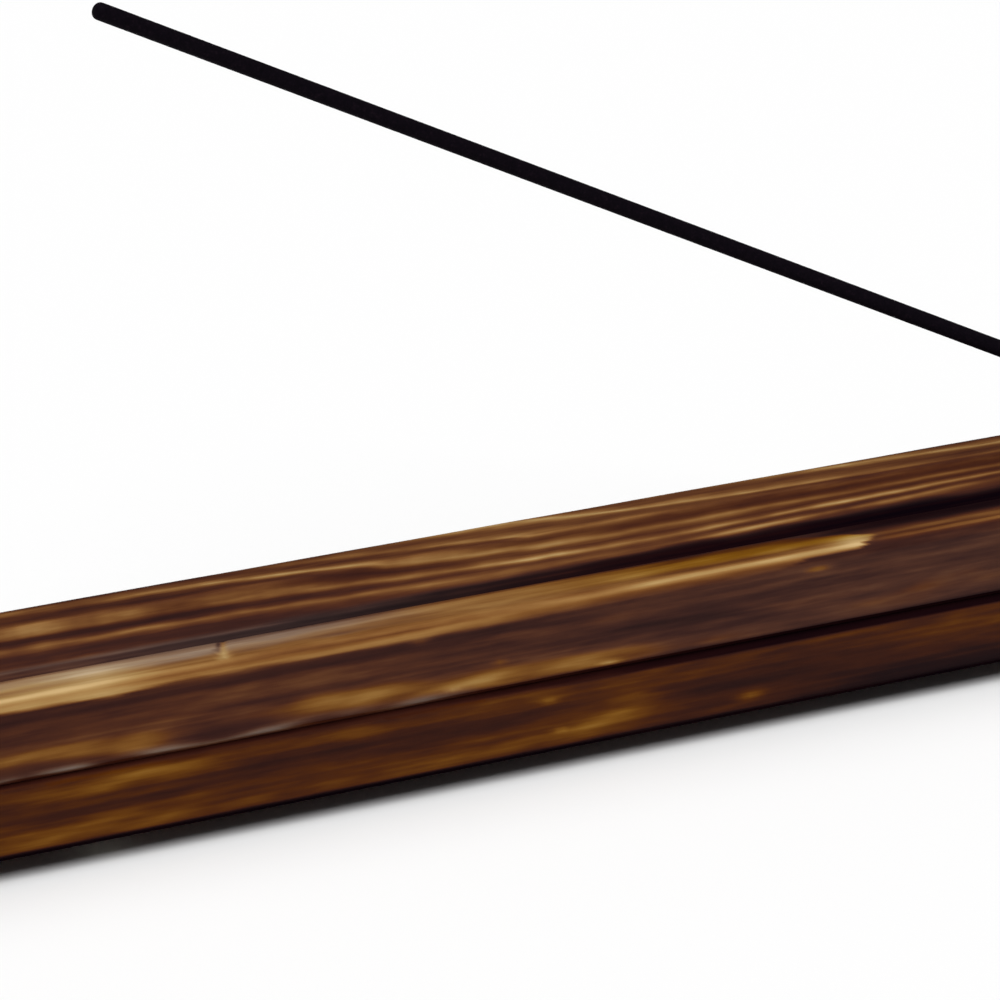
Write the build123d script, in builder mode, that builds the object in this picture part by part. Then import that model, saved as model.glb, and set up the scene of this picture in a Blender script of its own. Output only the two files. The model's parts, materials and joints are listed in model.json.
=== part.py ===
from build123d import *
from math import cos, radians, sin, tan
import os

# Incense stick holder: two torched softwood boards stacked on rubber feet. The upper board is an ash tray with a
# long cove, and a slanted socket near its right end holds an incense stick that leans back over the cove.
# Millimetres, +Z up, length along X, front at -Y. The origin lies under the middle, on the surface it stands on.

# Boards
LENGTH = 280.0
WIDTH = 36.0
TRAY_THICKNESS = 13.0
BASE_THICKNESS = 12.0
EDGE_ROUND = 2.0  # hand-sanded round on the tray's top edges and on the upright corners of both boards
ARRIS = 0.9  # bevel on the edges that meet at the seam and on the underside

# Ash groove: a cove cut with a ball-ended cutter
GROOVE_WIDTH = 19.0
GROOVE_DEPTH = 5.0
GROOVE_RIM_ROUND = 0.8
GROOVE_END_INSET = 12.0  # from the tray's left end to the groove's left tip
GROOVE_TO_SOCKET = 9.0  # from the groove's right tip to the middle of the socket's mouth

# Socket for the stick, and the stick's lean
SOCKET_INSET = 24.0  # from the tray's right end to the middle of the socket's mouth
SOCKET_DEPTH = 12.0  # along the slanted axis
SOCKET_CLEARANCE = 0.1  # on the radius
STICK_LEAN = 25.6  # degrees above the tray's top

# Incense stick
STICK_LENGTH = 235.0
CORE_DIAMETER = 1.5
COATING_DIAMETER = 2.7
BARE_LENGTH = 44.0  # bamboo left bare at the lower end
COATING_TAPER = 5.0  # length over which the paste thins out at its lower end
COATING_LIP = 0.2  # thickness of the paste where it starts
COATING_FIT = 0.02  # on the radius, between the paste and the bamboo
TIP_COVER = 2.0  # paste beyond the bamboo's upper end
TIP_ROUND = 1.0

# Wood screws, driven up from beneath through the base and into the tray
SCREW_LENGTH = 20.0
SCREW_DIAMETER = 3.0
SCREW_HEAD_DIAMETER = 5.8
SCREW_HEAD_ANGLE = 90.0
SCREW_POINT = 3.0
SCREW_CLEARANCE = 0.1  # on the radius, in the base and round the head
PILOT_CLEARANCE = 0.05  # on the radius and past the point, in the tray
SCREW_END_INSET = 48.0  # from the boards' ends
SCREW_SIDE_INSET = 5.5  # from the boards' sides
RECESS_SPAN = 3.2
RECESS_WIDTH = 0.8
RECESS_DEPTH = 1.3

# Rubber feet
FOOT_DIAMETER = 11.0
FOOT_TREAD_DIAMETER = 9.4
FOOT_HEIGHT = 4.0
FOOT_BEVEL = 0.7  # round the tread
FOOT_END_INSET = 16.0  # from the boards' ends to the feet's middles
FOOT_SIDE_INSET = 8.5  # from the boards' sides to the feet's middles

OVERRUN = 5.0  # how far cuts run past the face that they open

# Levels
base_z = FOOT_HEIGHT
seam_z = base_z + BASE_THICKNESS
top_z = seam_z + TRAY_THICKNESS

# Cove cutter: a ball of this radius run along a line above the tray
cove_radius = ((GROOVE_WIDTH / 2) ** 2 + GROOVE_DEPTH**2) / (2 * GROOVE_DEPTH)
cove_axis_z = top_z - GROOVE_DEPTH + cove_radius
socket_x = LENGTH / 2 - SOCKET_INSET
cove_left = -LENGTH / 2 + GROOVE_END_INSET + GROOVE_WIDTH / 2
cove_right = socket_x - GROOVE_TO_SOCKET - GROOVE_WIDTH / 2

# The stick's axis rises from the socket's floor; distances along the stick are counted from there
lean = radians(STICK_LEAN)
stick_direction = Vector(-cos(lean), 0, sin(lean))
socket_floor = Vector(socket_x, 0, top_z) - stick_direction * SOCKET_DEPTH
stick_plane = Plane(origin=socket_floor, x_dir=(0, 1, 0), z_dir=stick_direction)
stick_side_plane = Plane(origin=socket_floor, x_dir=stick_direction, z_dir=(0, -1, 0))
core_length = STICK_LENGTH - TIP_COVER

# Screw pattern, seen from beneath
screw_spacing_x = LENGTH - 2 * SCREW_END_INSET
screw_spacing_y = WIDTH - 2 * SCREW_SIDE_INSET
screw_radius = SCREW_DIAMETER / 2
screw_head_radius = SCREW_HEAD_DIAMETER / 2
screw_head_height = (screw_head_radius - screw_radius) / tan(radians(SCREW_HEAD_ANGLE / 2))
base_underside = Plane(origin=(0, 0, base_z), z_dir=(0, 0, -1))
tray_underside = Plane(origin=(0, 0, seam_z), z_dir=(0, 0, -1))

# Upper board
with BuildPart() as tray_board:
    with BuildSketch(Plane.XY.offset(seam_z)):
        Rectangle(LENGTH, WIDTH)
    extrude(amount=TRAY_THICKNESS)
    upright_edges = tray_board.edges().filter_by(Axis.Z)
    top_edges = tray_board.faces().sort_by(Axis.Z)[-1].edges()
    fillet(upright_edges + top_edges, EDGE_ROUND)
    chamfer(tray_board.faces().sort_by(Axis.Z)[0].edges(), ARRIS)
    # Ash groove
    with BuildSketch(Plane.XZ):
        with BuildLine():
            Line((cove_left, cove_axis_z - cove_radius), (cove_right, cove_axis_z - cove_radius))
            CenterArc((cove_right, cove_axis_z), cove_radius, -90, 90)
            Line((cove_right + cove_radius, cove_axis_z), (cove_left - cove_radius, cove_axis_z))
            CenterArc((cove_left, cove_axis_z), cove_radius, 180, 90)
        make_face()
    revolve(axis=Axis((0, 0, cove_axis_z), (1, 0, 0)), mode=Mode.SUBTRACT)
    groove_rim = tray_board.faces().sort_by(Axis.Z)[-1].inner_wires()[0].edges()
    fillet(groove_rim, GROOVE_RIM_ROUND)
    # Slanted socket, flat at its floor
    with BuildSketch(stick_plane):
        Circle(CORE_DIAMETER / 2 + SOCKET_CLEARANCE)
    extrude(amount=SOCKET_DEPTH + OVERRUN, mode=Mode.SUBTRACT)
    # Pilot holes for the screws
    with Locations(tray_underside):
        with GridLocations(screw_spacing_x, screw_spacing_y, 2, 2):
            Hole(screw_radius + PILOT_CLEARANCE, depth=SCREW_LENGTH - BASE_THICKNESS + PILOT_CLEARANCE)
tray_board.part.label = "tray_board"

# Lower board
with BuildPart() as base_board:
    with BuildSketch(Plane.XY.offset(base_z)):
        Rectangle(LENGTH, WIDTH)
    extrude(amount=BASE_THICKNESS)
    fillet(base_board.edges().filter_by(Axis.Z), EDGE_ROUND)
    flat_faces = base_board.faces().filter_by(Axis.Z)
    chamfer(flat_faces.edges(), ARRIS)
    with Locations(base_underside):
        with GridLocations(screw_spacing_x, screw_spacing_y, 2, 2):
            CounterSinkHole(
                radius=screw_radius + SCREW_CLEARANCE,
                counter_sink_radius=screw_head_radius + SCREW_CLEARANCE,
                depth=BASE_THICKNESS,
                counter_sink_angle=SCREW_HEAD_ANGLE,
            )
base_board.part.label = "base_board"

# One countersunk screw, head down at the origin
with BuildPart() as screw:
    with BuildSketch(Plane.XZ):
        with BuildLine():
            Polyline(
                (0, 0),
                (screw_head_radius, 0),
                (screw_radius, screw_head_height),
                (screw_radius, SCREW_LENGTH - SCREW_POINT),
                (0, SCREW_LENGTH),
                close=True,
            )
        make_face()
    revolve(axis=Axis.Z)
    with BuildSketch():
        Rectangle(RECESS_SPAN, RECESS_WIDTH)
        Rectangle(RECESS_WIDTH, RECESS_SPAN)
    extrude(amount=RECESS_DEPTH, mode=Mode.SUBTRACT)

# The screws, flush with the base's underside
with BuildPart() as assembly_screws:
    with Locations(Plane.XY.offset(base_z)):
        with GridLocations(screw_spacing_x, screw_spacing_y, 2, 2):
            add(screw.part)
assembly_screws.part.label = "assembly_screws"

# Bamboo core of the stick, standing on the socket's floor
with BuildPart() as stick_core:
    with BuildSketch(stick_plane):
        Circle(CORE_DIAMETER / 2)
    extrude(amount=core_length)
stick_core.part.label = "stick_core"

# Incense paste round the core, thinned out at its lower end and closed over the tip
bore_radius = CORE_DIAMETER / 2 + COATING_FIT
coating_radius = COATING_DIAMETER / 2
with BuildPart() as stick_coating:
    with BuildSketch(stick_side_plane):
        with BuildLine():
            Polyline(
                (BARE_LENGTH, bore_radius),
                (BARE_LENGTH, bore_radius + COATING_LIP),
                (BARE_LENGTH + COATING_TAPER, coating_radius),
                (STICK_LENGTH, coating_radius),
                (STICK_LENGTH, 0),
                (core_length, 0),
                (core_length, bore_radius),
                close=True,
            )
        make_face()
    revolve(axis=Axis(socket_floor, stick_direction))
    tip_face = stick_coating.faces().sort_by(Axis.Z)[-1]
    fillet(tip_face.edges(), TIP_ROUND)
stick_coating.part.label = "stick_coating"

pieces = [tray_board.part, base_board.part, assembly_screws.part, stick_core.part, stick_coating.part]

# Rubber feet, wider where they are stuck to the base
foot_x = LENGTH / 2 - FOOT_END_INSET
foot_y = WIDTH / 2 - FOOT_SIDE_INSET
for side_name, side in (("front", -1), ("back", 1)):
    for end_name, end in (("left", -1), ("right", 1)):
        with BuildPart(Plane((end * foot_x, side * foot_y, 0))) as foot:
            Cone(
                FOOT_TREAD_DIAMETER / 2,
                FOOT_DIAMETER / 2,
                FOOT_HEIGHT,
                align=(Align.CENTER, Align.CENTER, Align.MIN),
            )
            chamfer(foot.edges().sort_by(Axis.Z)[0], FOOT_BEVEL)
        foot.part.label = f"foot_{side_name}_{end_name}"
        pieces.append(foot.part)

os.makedirs("parts", exist_ok=True)
for piece in pieces:
    export_step(piece, f"parts/{piece.label}.step")
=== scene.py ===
import json
from math import atan2, cos, pi, radians, sin

import bpy
import numpy as np
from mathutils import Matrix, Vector, noise


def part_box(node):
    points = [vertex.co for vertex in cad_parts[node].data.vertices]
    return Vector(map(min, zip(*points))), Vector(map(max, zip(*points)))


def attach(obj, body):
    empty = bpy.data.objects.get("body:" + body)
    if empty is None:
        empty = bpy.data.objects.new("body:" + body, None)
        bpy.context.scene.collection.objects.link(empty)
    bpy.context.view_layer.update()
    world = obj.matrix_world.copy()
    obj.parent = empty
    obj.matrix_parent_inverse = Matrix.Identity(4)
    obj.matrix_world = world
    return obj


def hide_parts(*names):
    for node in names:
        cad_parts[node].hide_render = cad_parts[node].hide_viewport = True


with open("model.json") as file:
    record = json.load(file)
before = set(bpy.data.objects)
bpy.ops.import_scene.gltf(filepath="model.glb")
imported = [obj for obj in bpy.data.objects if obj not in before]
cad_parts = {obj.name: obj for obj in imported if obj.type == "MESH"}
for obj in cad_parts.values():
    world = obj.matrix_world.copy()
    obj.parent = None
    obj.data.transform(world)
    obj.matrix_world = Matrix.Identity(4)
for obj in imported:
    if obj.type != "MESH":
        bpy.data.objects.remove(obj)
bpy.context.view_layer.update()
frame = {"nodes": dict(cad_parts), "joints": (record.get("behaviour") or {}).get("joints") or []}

# Looks of the incense stick holder: two torched and varnished boards, the stick, the feet and the screws.
# Metres, in the CAD's own frame: X along the boards towards the socket, front at -Y, floor at Z 0.

MM = 0.001
tray_low, tray_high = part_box("tray_board")
base_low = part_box("base_board")[0]
screws_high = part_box("assembly_screws")[1]
HALF_LENGTH = tray_high.x
HALF_WIDTH = tray_high.y
TOP = tray_high.z
SEAM = tray_low.z
UNDERSIDE = base_low.z

# Boards and screws, as the CAD has them
EDGE_ROUND = 2.0 * MM
ARRIS = 0.9 * MM
GROOVE_HALF_WIDTH = 9.5 * MM
GROOVE_DEPTH = 5.0 * MM
GROOVE_END_INSET = 12.0 * MM
GROOVE_TO_SOCKET = 9.0 * MM
SOCKET_INSET = 24.0 * MM
SOCKET_DEPTH = 12.0 * MM
SOCKET_RADIUS = 0.85 * MM
SCREW_RADIUS = 1.5 * MM
SCREW_HEAD_RADIUS = 2.9 * MM
SCREW_LENGTH = 20.0 * MM
SCREW_CLEARANCE = 0.1 * MM
PILOT_CLEARANCE = 0.05 * MM

# Boards, only here
CORNER_LEFT = 0.12 * MM  # radius that the round leaves at the end faces' corners
RIM_SOFTNESS = 0.3 * MM  # depth over which the groove's rim is eased
OVERRUN = 3.0 * MM  # how far cutters run past the face that they open

socket_x = HALF_LENGTH - SOCKET_INSET
cove_radius = (GROOVE_HALF_WIDTH**2 + GROOVE_DEPTH**2) / (2 * GROOVE_DEPTH)
cove_left = -HALF_LENGTH + GROOVE_END_INSET + GROOVE_HALF_WIDTH
cove_right = socket_x - GROOVE_TO_SOCKET - GROOVE_HALF_WIDTH
screw_x = screws_high.x - SCREW_HEAD_RADIUS
screw_y = screws_high.y - SCREW_HEAD_RADIUS
screw_places = [(x, y, 0) for x in (-screw_x, screw_x) for y in (-screw_y, screw_y)]

# Stick, as the CAD has it, but with 0.01 mm less paste on the radius
stick_direction = Vector(frame["joints"][0]["axis"]).normalized()
socket_floor = Vector((socket_x, 0, TOP)) - stick_direction * SOCKET_DEPTH
STICK_LENGTH = 235.0 * MM
CORE_RADIUS = 0.75 * MM
PASTE_RADIUS = 1.34 * MM
BARE_LENGTH = 44.0 * MM
PASTE_TAPER = 5.0 * MM
PASTE_LIP = 0.2 * MM
PASTE_FIT = 0.02 * MM
TIP_COVER = 2.0 * MM
TIP_ROUND = 1.0 * MM
core_end = STICK_LENGTH - TIP_COVER


# Small helpers

def smoothstep(start, end, value):
    """0 before start, 1 past end, and smooth between; start may be the larger."""
    share = np.clip((value - start) / (end - start), 0, 1)
    return share * share * (3 - 2 * share)


def blend(first, second, share):
    return first + (second - first) * share


def patch(x, y, centre_x, centre_y, half_x, half_y):
    """1 in the middle of a soft oval patch, falling away to 0."""
    return np.exp(-(((x - centre_x) / half_x) ** 2) - ((y - centre_y) / half_y) ** 2)


def band(value, centre, half):
    """1 in the middle of a soft band, falling away to 0."""
    return np.exp(-(((value - centre) / half) ** 2))


def smooth_noise(places):
    """Smooth noise from -1 to 1."""
    return np.array([noise.noise(place) for place in places.tolist()])


def streaks(points, along, across, seed):
    """Smooth noise from -1 to 1, drawn out along X: its patches are so long and so wide."""
    return smooth_noise(points / np.array([along, across, across]) + seed)


def from_zero(values):
    """Values from -1 to 1, moved to lie from 0 to 1."""
    return 0.5 + 0.5 * values


def by_place(value, table):
    """Amounts between the table's places, which are in millimetres."""
    return np.interp(value, np.array(list(table)) * MM, list(table.values()))


def srgb(red, green, blue):
    """A colour as a screen shows it, from 0 to 255, as Blender wants it."""
    parts = (np.array([red, green, blue]) / 255).tolist()
    return [p / 12.92 if p < 0.04045 else ((p + 0.055) / 1.055) ** 2.4 for p in parts] + [1.0]


def grey(level):
    return (level, level, level, 1.0)


# Meshes

SHARP_ANGLE = radians(50)


def mesh_object(name, vertices, faces):
    mesh = bpy.data.meshes.new(name)
    mesh.from_pydata(vertices, [], faces)
    mesh.shade_smooth()
    made = bpy.data.objects.new(name, mesh)
    bpy.context.scene.collection.objects.link(made)
    return made


def skin(name, rings, cap_shares=()):
    """A closed skin over rings of points, anticlockwise seen from the last ring.

    Each cap has a smaller ring for each of these shares."""
    first, last = rings[0], rings[-1]
    first_middle, last_middle = first.mean(0), last.mean(0)
    before = [blend(first_middle, first, share) for share in reversed(cap_shares)]
    after = [blend(last_middle, last, share) for share in cap_shares]
    every = np.array(before + list(rings) + after)
    count, around = every.shape[:2]
    here = np.arange(count * around).reshape(count, around)
    ahead = np.roll(here, -1, axis=1)
    quads = np.stack([here[:-1], ahead[:-1], ahead[1:], here[1:]], -1)
    faces = quads.reshape(-1, 4).tolist()
    first_point = count * around
    last_point = first_point + 1
    ends = np.stack([here[0], ahead[0], here[-1], ahead[-1]], 1).tolist()
    for first_here, first_ahead, last_here, last_ahead in ends:
        faces.append([first_point, first_ahead, first_here])
        faces.append([last_point, last_here, last_ahead])
    vertices = np.concatenate([every.reshape(-1, 3), [first_middle, last_middle]])
    return mesh_object(name, vertices.tolist(), faces)


def turned(name, origin, direction, profile, around):
    """A turned piece: profile is (distance along the axis, radius) from its lower end."""
    direction = Vector(direction).normalized()
    side = direction.orthogonal().normalized()
    other = direction.cross(side)
    angles = np.linspace(0, 2 * pi, around, endpoint=False)
    circle = np.outer(np.cos(angles), side) + np.outer(np.sin(angles), other)
    rings = [np.array(origin) + np.array(direction) * along + circle * radius for along, radius in profile]
    return skin(name, np.array(rings))


def cut(target, cutters):
    """Takes the closed cutters out of the target, and removes them."""
    for cutter in cutters:
        modifier = target.modifiers.new("cut", "BOOLEAN")
        modifier.operation = "DIFFERENCE"
        modifier.solver = "EXACT"
        modifier.object = cutter
    seen = target.evaluated_get(bpy.context.evaluated_depsgraph_get())
    mesh = bpy.data.meshes.new_from_object(seen)
    target.modifiers.clear()
    target.data = mesh
    for cutter in cutters:
        bpy.data.objects.remove(cutter)
    mesh.shade_smooth()
    mesh.set_sharp_from_angle(angle=SHARP_ANGLE)


def points_of(made):
    points = np.empty(len(made.data.vertices) * 3)
    made.data.vertices.foreach_get("co", points)
    return points.reshape(-1, 3)


def press_in(made, outward, depths):
    """Moves each point against its outward direction by its depth."""
    points = points_of(made) - outward * depths[:, None]
    made.data.vertices.foreach_set("co", points.ravel())
    made.data.update()


def write_attribute(made, name, values):
    layer = made.data.attributes.new(name, "FLOAT", "POINT")
    layer.data.foreach_set("value", np.ascontiguousarray(values, dtype=np.float32))


# Boards

STATION_SPACING = 1.0 * MM
SECTION_SPACING = 0.42 * MM
QUARTER_STEPS = 8
END_STEPS = 8
CAP_SHARES = (0.94, 0.86, 0.76, 0.64, 0.5, 0.35, 0.18)
LEVEL = 0.99  # a normal that points up or down by more than this belongs to a level face
GRAIN_RELIEF = 0.02 * MM
GRAIN_SIZE = (30 * MM, 1.1 * MM)
SANDING_RELIEF = 0.1 * MM
SANDING_SIZE = (14 * MM, 5 * MM)
FLAT_SANDING = 0.15  # share of the sanding's relief that flat faces have
NICK_X = -71.3 * MM
CHIP_X = 36.0 * MM
# Stretches of the tray with closer rings: first X, last X and spacing
TRAY_ZONES = (
    (-HALF_LENGTH + GROOVE_END_INSET - 1 * MM, cove_left + 1 * MM, 0.5 * MM),
    (NICK_X - 3 * MM, NICK_X + 3 * MM, 0.3 * MM),
    (CHIP_X - 12 * MM, CHIP_X + 8 * MM, 0.6 * MM),
    (cove_right - 1 * MM, socket_x + 5 * MM, 0.5 * MM),
)


def stations(zones):
    """X of a board's rings between its end rounds, closer together in the zones."""
    last = HALF_LENGTH - EDGE_ROUND
    xs = [-last]
    while xs[-1] < last:
        fine = [spacing for start, end, spacing in zones if start <= xs[-1] < end]
        xs.append(xs[-1] + min(fine, default=STATION_SPACING))
    xs[-1] = last
    return np.array(xs)


def straight(start, end, normal):
    """Points of a flat run of a section, without its last point, and their outward normals."""
    start, end = np.array(start), np.array(end)
    count = max(3, round(np.linalg.norm(end - start) / SECTION_SPACING))
    shares = np.arange(count)[:, None] / count
    return start + (end - start) * shares, np.tile(normal, (count, 1))


def quarter(centre, radius, start):
    """Points of a quarter round from an angle in degrees, without its last point, and their normals."""
    angles = np.radians(start + 90 * np.arange(QUARTER_STEPS) / QUARTER_STEPS)
    normals = np.stack([np.cos(angles), np.sin(angles)], 1)
    return np.array(centre) + normals * radius, normals


def section(low, high, rounded):
    """(points, normals) round a board's section in Y and Z, anticlockwise seen from +X."""
    slope = 0.5**0.5
    inner = HALF_WIDTH - ARRIS
    top_edge = EDGE_ROUND if rounded else ARRIS
    flat = HALF_WIDTH - top_edge
    shoulder = high - top_edge
    runs = [
        straight((-inner, low), (inner, low), (0, -1)),
        straight((inner, low), (HALF_WIDTH, low + ARRIS), (slope, -slope)),
        straight((HALF_WIDTH, low + ARRIS), (HALF_WIDTH, shoulder), (1, 0)),
    ]
    if rounded:
        back_edge = quarter((flat, shoulder), top_edge, 0)
        front_edge = quarter((-flat, shoulder), top_edge, 90)
    else:
        back_edge = straight((HALF_WIDTH, shoulder), (flat, high), (slope, slope))
        front_edge = straight((-flat, high), (-HALF_WIDTH, shoulder), (-slope, slope))
    runs += [
        back_edge,
        straight((flat, high), (-flat, high), (0, 1)),
        front_edge,
        straight((-HALF_WIDTH, shoulder), (-HALF_WIDTH, low + ARRIS), (-1, 0)),
        straight((-HALF_WIDTH, low + ARRIS), (-inner, low), (-slope, -slope)),
    ]
    return np.concatenate([run[0] for run in runs]), np.concatenate([run[1] for run in runs])


def from_cove_line(x, y):
    """Distance, seen from above, from the line between the cove's two ball centres."""
    past_end = np.maximum(0, np.maximum(cove_left - x, x - cove_right))
    return np.hypot(past_end, y)


def groove_depth(x, y):
    """How far the ball-ended cove lies below the tray's top, with a soft rim."""
    out = np.minimum(from_cove_line(x, y), cove_radius)
    ball = np.sqrt(cove_radius**2 - out**2) - (cove_radius - GROOVE_DEPTH)
    return (ball + np.sqrt(ball**2 + RIM_SOFTNESS**2)) / 2


def board_rings(low, high, rounded, zones):
    """A board's rings of points along X, with rounded ends and eased edges, and a ring's outward normals."""
    turns = np.linspace(0, pi / 2, END_STEPS + 1)[1:]
    middle = stations(zones)
    end_x = HALF_LENGTH - EDGE_ROUND + EDGE_ROUND * np.sin(turns)
    end_inset = (EDGE_ROUND - CORNER_LEFT) * (1 - np.cos(turns))
    xs = np.concatenate([-end_x[::-1], middle, end_x])
    inset = np.concatenate([end_inset[::-1], np.zeros_like(middle), end_inset])
    bevel = np.maximum(0, np.abs(xs) - (HALF_LENGTH - ARRIS))
    outline, normals = section(low, high, rounded)
    facing_up = normals[:, 1] > 0
    x = np.repeat(xs[:, None], len(outline), 1)
    lift = np.where(facing_up & rounded, inset[:, None], bevel[:, None])
    y = outline[:, 0] - normals[:, 0] * inset[:, None]
    z = outline[:, 1] - normals[:, 1] * lift
    if rounded:
        z = np.where(normals[:, 1] > LEVEL, z - groove_depth(x, y), z)
    return np.stack([x, y, z], -1), normals


def worn_depth(points, normals, count, seed):
    """How deep grain and sanding lie on a board of so many rings; its lower face stays flat."""
    grain = from_zero(streaks(points, *GRAIN_SIZE, seed))
    sanding = from_zero(streaks(points, *SANDING_SIZE, seed + 3))
    eased = np.tile(np.abs(normals[:, 0] * normals[:, 1]) * 2, count)
    beneath = np.tile(normals[:, 1] < -LEVEL, count)
    sanded = SANDING_RELIEF * sanding * blend(FLAT_SANDING, 1, eased)
    return np.where(beneath, 0, GRAIN_RELIEF * grain + sanded)


def board(name, low, high, rounded, zones, seed):
    """A board's skin with shallow relief along the grain, within its CAD box."""
    rings, normals = board_rings(low, high, rounded, zones)
    count = len(rings)
    points = rings.reshape(-1, 3)
    outward = np.tile(np.stack([np.zeros(len(normals)), normals[:, 0], normals[:, 1]], 1), (count, 1))
    points -= outward * worn_depth(points, normals, count, seed)[:, None]
    if rounded:
        points[:, 2] -= nick_depth(points)
    return skin(name, points.reshape(count, -1, 3), CAP_SHARES)


def tray_run(y, z):
    """Distance over the tray's surface from the groove's front rim, past the round and down the front."""
    flat = HALF_WIDTH - EDGE_ROUND
    shoulder = TOP - EDGE_ROUND
    land = -GROOVE_HALF_WIDTH - y
    turned_by = np.arctan2(-flat - y, np.maximum(z - shoulder, 1e-6))
    on_round = flat - GROOVE_HALF_WIDTH + EDGE_ROUND * turned_by
    on_front = flat - GROOVE_HALF_WIDTH + EDGE_ROUND * pi / 2 + (shoulder - z)
    return np.where(y > -flat, land, np.where(z > shoulder, on_round, on_front))


# Nick across the front land

NICK_WIDTH = 0.6 * MM
NICK_DEPTH = 0.2 * MM
NICK_REACH = 7.5 * MM  # how far it runs over the front land from the groove's rim
NICK_LEAN = -0.44  # along X for each unit of its run
NICK_NARROW = 0.8  # share of its width that it has at the rim
NICK_FLARE = 1.4  # share of its width that it gains by the end of its reach


def nick_offset(points):
    """Place along X from the nick's middle, in widths of the nick, and the share of the nick there."""
    x, y, z = points.T
    run = tray_run(y, z)
    width = NICK_WIDTH * (NICK_NARROW + NICK_FLARE * (run / NICK_REACH) ** 2)
    length = smoothstep(-0.3 * MM, 0.4 * MM, run) * smoothstep(NICK_REACH, NICK_REACH - 1.5 * MM, run)
    return (x - NICK_X - NICK_LEAN * run) / width, length


def nick_share(points):
    offset, length = nick_offset(points)
    return band(offset, 0.3, 1) * length


def nick_shadow_share(points):
    """The painted shadow along the nick's left side, darkest near the groove."""
    offset, length = nick_offset(points)
    return band(offset, -1.2, 0.7) * length * smoothstep(-15.5 * MM, -10.5 * MM, points[:, 1])


def nick_depth(points):
    return np.where(points[:, 2] > TOP - EDGE_ROUND, NICK_DEPTH * nick_share(points), 0)


# Growth rings

RING_SPACING = 1.6 * MM
RING_RADIUS = 70 * MM
RING_MIDDLE = 10 * MM
TRAY_RING_TILT = radians(12)
BASE_RING_TILT = radians(-9)
BASE_RING_SLOPE = 0.006  # across the rings for each unit along X
RINGS_ACROSS = 43  # rings crossed by each metre of the flat top from front to back
END_FACE = 0.1 * MM  # points this near to a board's end lie on its end face

# Light growth-ring lines on the tray's top behind the groove's floor: for each X, the lines' Y in millimetres
BACK_LINES = {
    -125: (3.6, 6.8, 8.8, 17.5, 22, 26, 30, 34),
    -96: (3.6, 6.8, 8.6, 15.5, 21, 25, 29, 33),
    -61: (3.4, 6.5, 8.2, 12.9, 17.5, 21, 25, 29),
    -35: (3.2, 5.8, 7.4, 9.2, 13.7, 18.0, 22, 26),
    -10: (3.0, 5.3, 6.8, 8.3, 9.7, 16.3, 20, 24),
    9: (3.0, 5.1, 6.6, 8.1, 9.5, 13.0, 18.5, 23),
    30: (3.2, 5.4, 6.7, 8.1, 9.3, 11.0, 17.0, 21.5),
    54: (3.4, 5.7, 7.0, 8.1, 9.1, 10.0, 15.0, 19.5),
    75: (3.6, 6.2, 7.1, 8.1, 9.0, 9.8, 13.5, 18),
}
# How strongly each of them stands out there
BACK_STRENGTHS = {
    -125: (0.2, 0.4, 0.35, 0.25, 0.2, 0.2, 0.2, 0.2),
    -96: (0.3, 0.7, 1.3, 0.35, 0.2, 0.2, 0.2, 0.2),
    -61: (0.2, 0.6, 0.65, 0.9, 0.3, 0.2, 0.2, 0.2),
    -35: (0.1, 0.4, 0.65, 1.0, 0.4, 0.3, 0.2, 0.2),
    -10: (0.0, 0.35, 1.2, 1.1, 0.8, 0.9, 0.3, 0.2),
    9: (0.0, 0.25, 0.6, 0.6, 0.3, 1.0, 0.8, 0.2),
    30: (0.0, 1.1, 1.3, 0.6, 0.1, 0.75, 0.9, 0.2),
    54: (0.0, 0.9, 1.0, 0.5, 0.1, 0.45, 0.85, 0.2),
    75: (0.0, 0.35, 0.6, 0.5, 0.1, 0.35, 0.7, 0.2),
    115: (0.0, 0.2, 0.4, 0.3, 0.1, 0.3, 0.5, 0.2),
}


def along_board(x, table):
    """The table's columns at each x, one array for each column."""
    return [by_place(x, dict(zip(table, column))) for column in zip(*table.values())]


def back_rings(x, y):
    """Rings counted from the line nearest the groove's floor; light lines lie half way between counts."""
    # At the groove's ends the cut lies as deep as at this Y beside its straight part
    alike = np.minimum(from_cove_line(x, y), np.maximum(y, GROOVE_HALF_WIDTH))
    lines = [line * MM for line in along_board(x, BACK_LINES)]
    count = 0.5 + np.minimum(0, (alike - lines[0]) / RING_SPACING)
    for near, far in zip(lines, lines[1:]):
        count += np.clip((alike - near) / (far - near), 0, 1)
    return count - RINGS_ACROSS * (alike - y)


def back_strength(x, rings):
    """How strongly the nearest light lines stand out."""
    share = np.zeros_like(x)
    for number, strength in enumerate(along_board(x, BACK_STRENGTHS)):
        share += strength * np.clip(1 - np.abs(rings - 0.5 - number), 0, 1)
    return share


def above_floor(z):
    """Whether points lie higher than just below the groove's floor."""
    return z > TOP - GROOVE_DEPTH - 0.5 * MM


def behind_floor(points):
    """Whether points lie on the tray's top, behind the middle of the groove's floor."""
    x, y, z = points.T
    on_top = np.where(y < HALF_WIDTH - EDGE_ROUND, above_floor(z), z > TOP - EDGE_ROUND)
    return (y > 2 * MM) & on_top & (np.abs(x) < HALF_LENGTH - END_FACE)


def lengthwise(x):
    """1 along the boards and 0 on their end faces."""
    return smoothstep(HALF_LENGTH - END_FACE, HALF_LENGTH - 0.7 * MM, np.abs(x))


def sheets_across(y, height, tilt, middle):
    """Distance across the growth rings: tipped sheets, bowed about a middle line."""
    return np.sin(tilt) * y + np.cos(tilt) * height + (y - middle) ** 2 / (2 * RING_RADIUS)


def ring_waver(points, amount, along, across, seed):
    """How far the rings waver: broadly, and a little over short lengths."""
    return amount * streaks(points, along, across, seed) + 0.1 * streaks(points, 20 * MM, 4 * MM, seed + 2)


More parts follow.
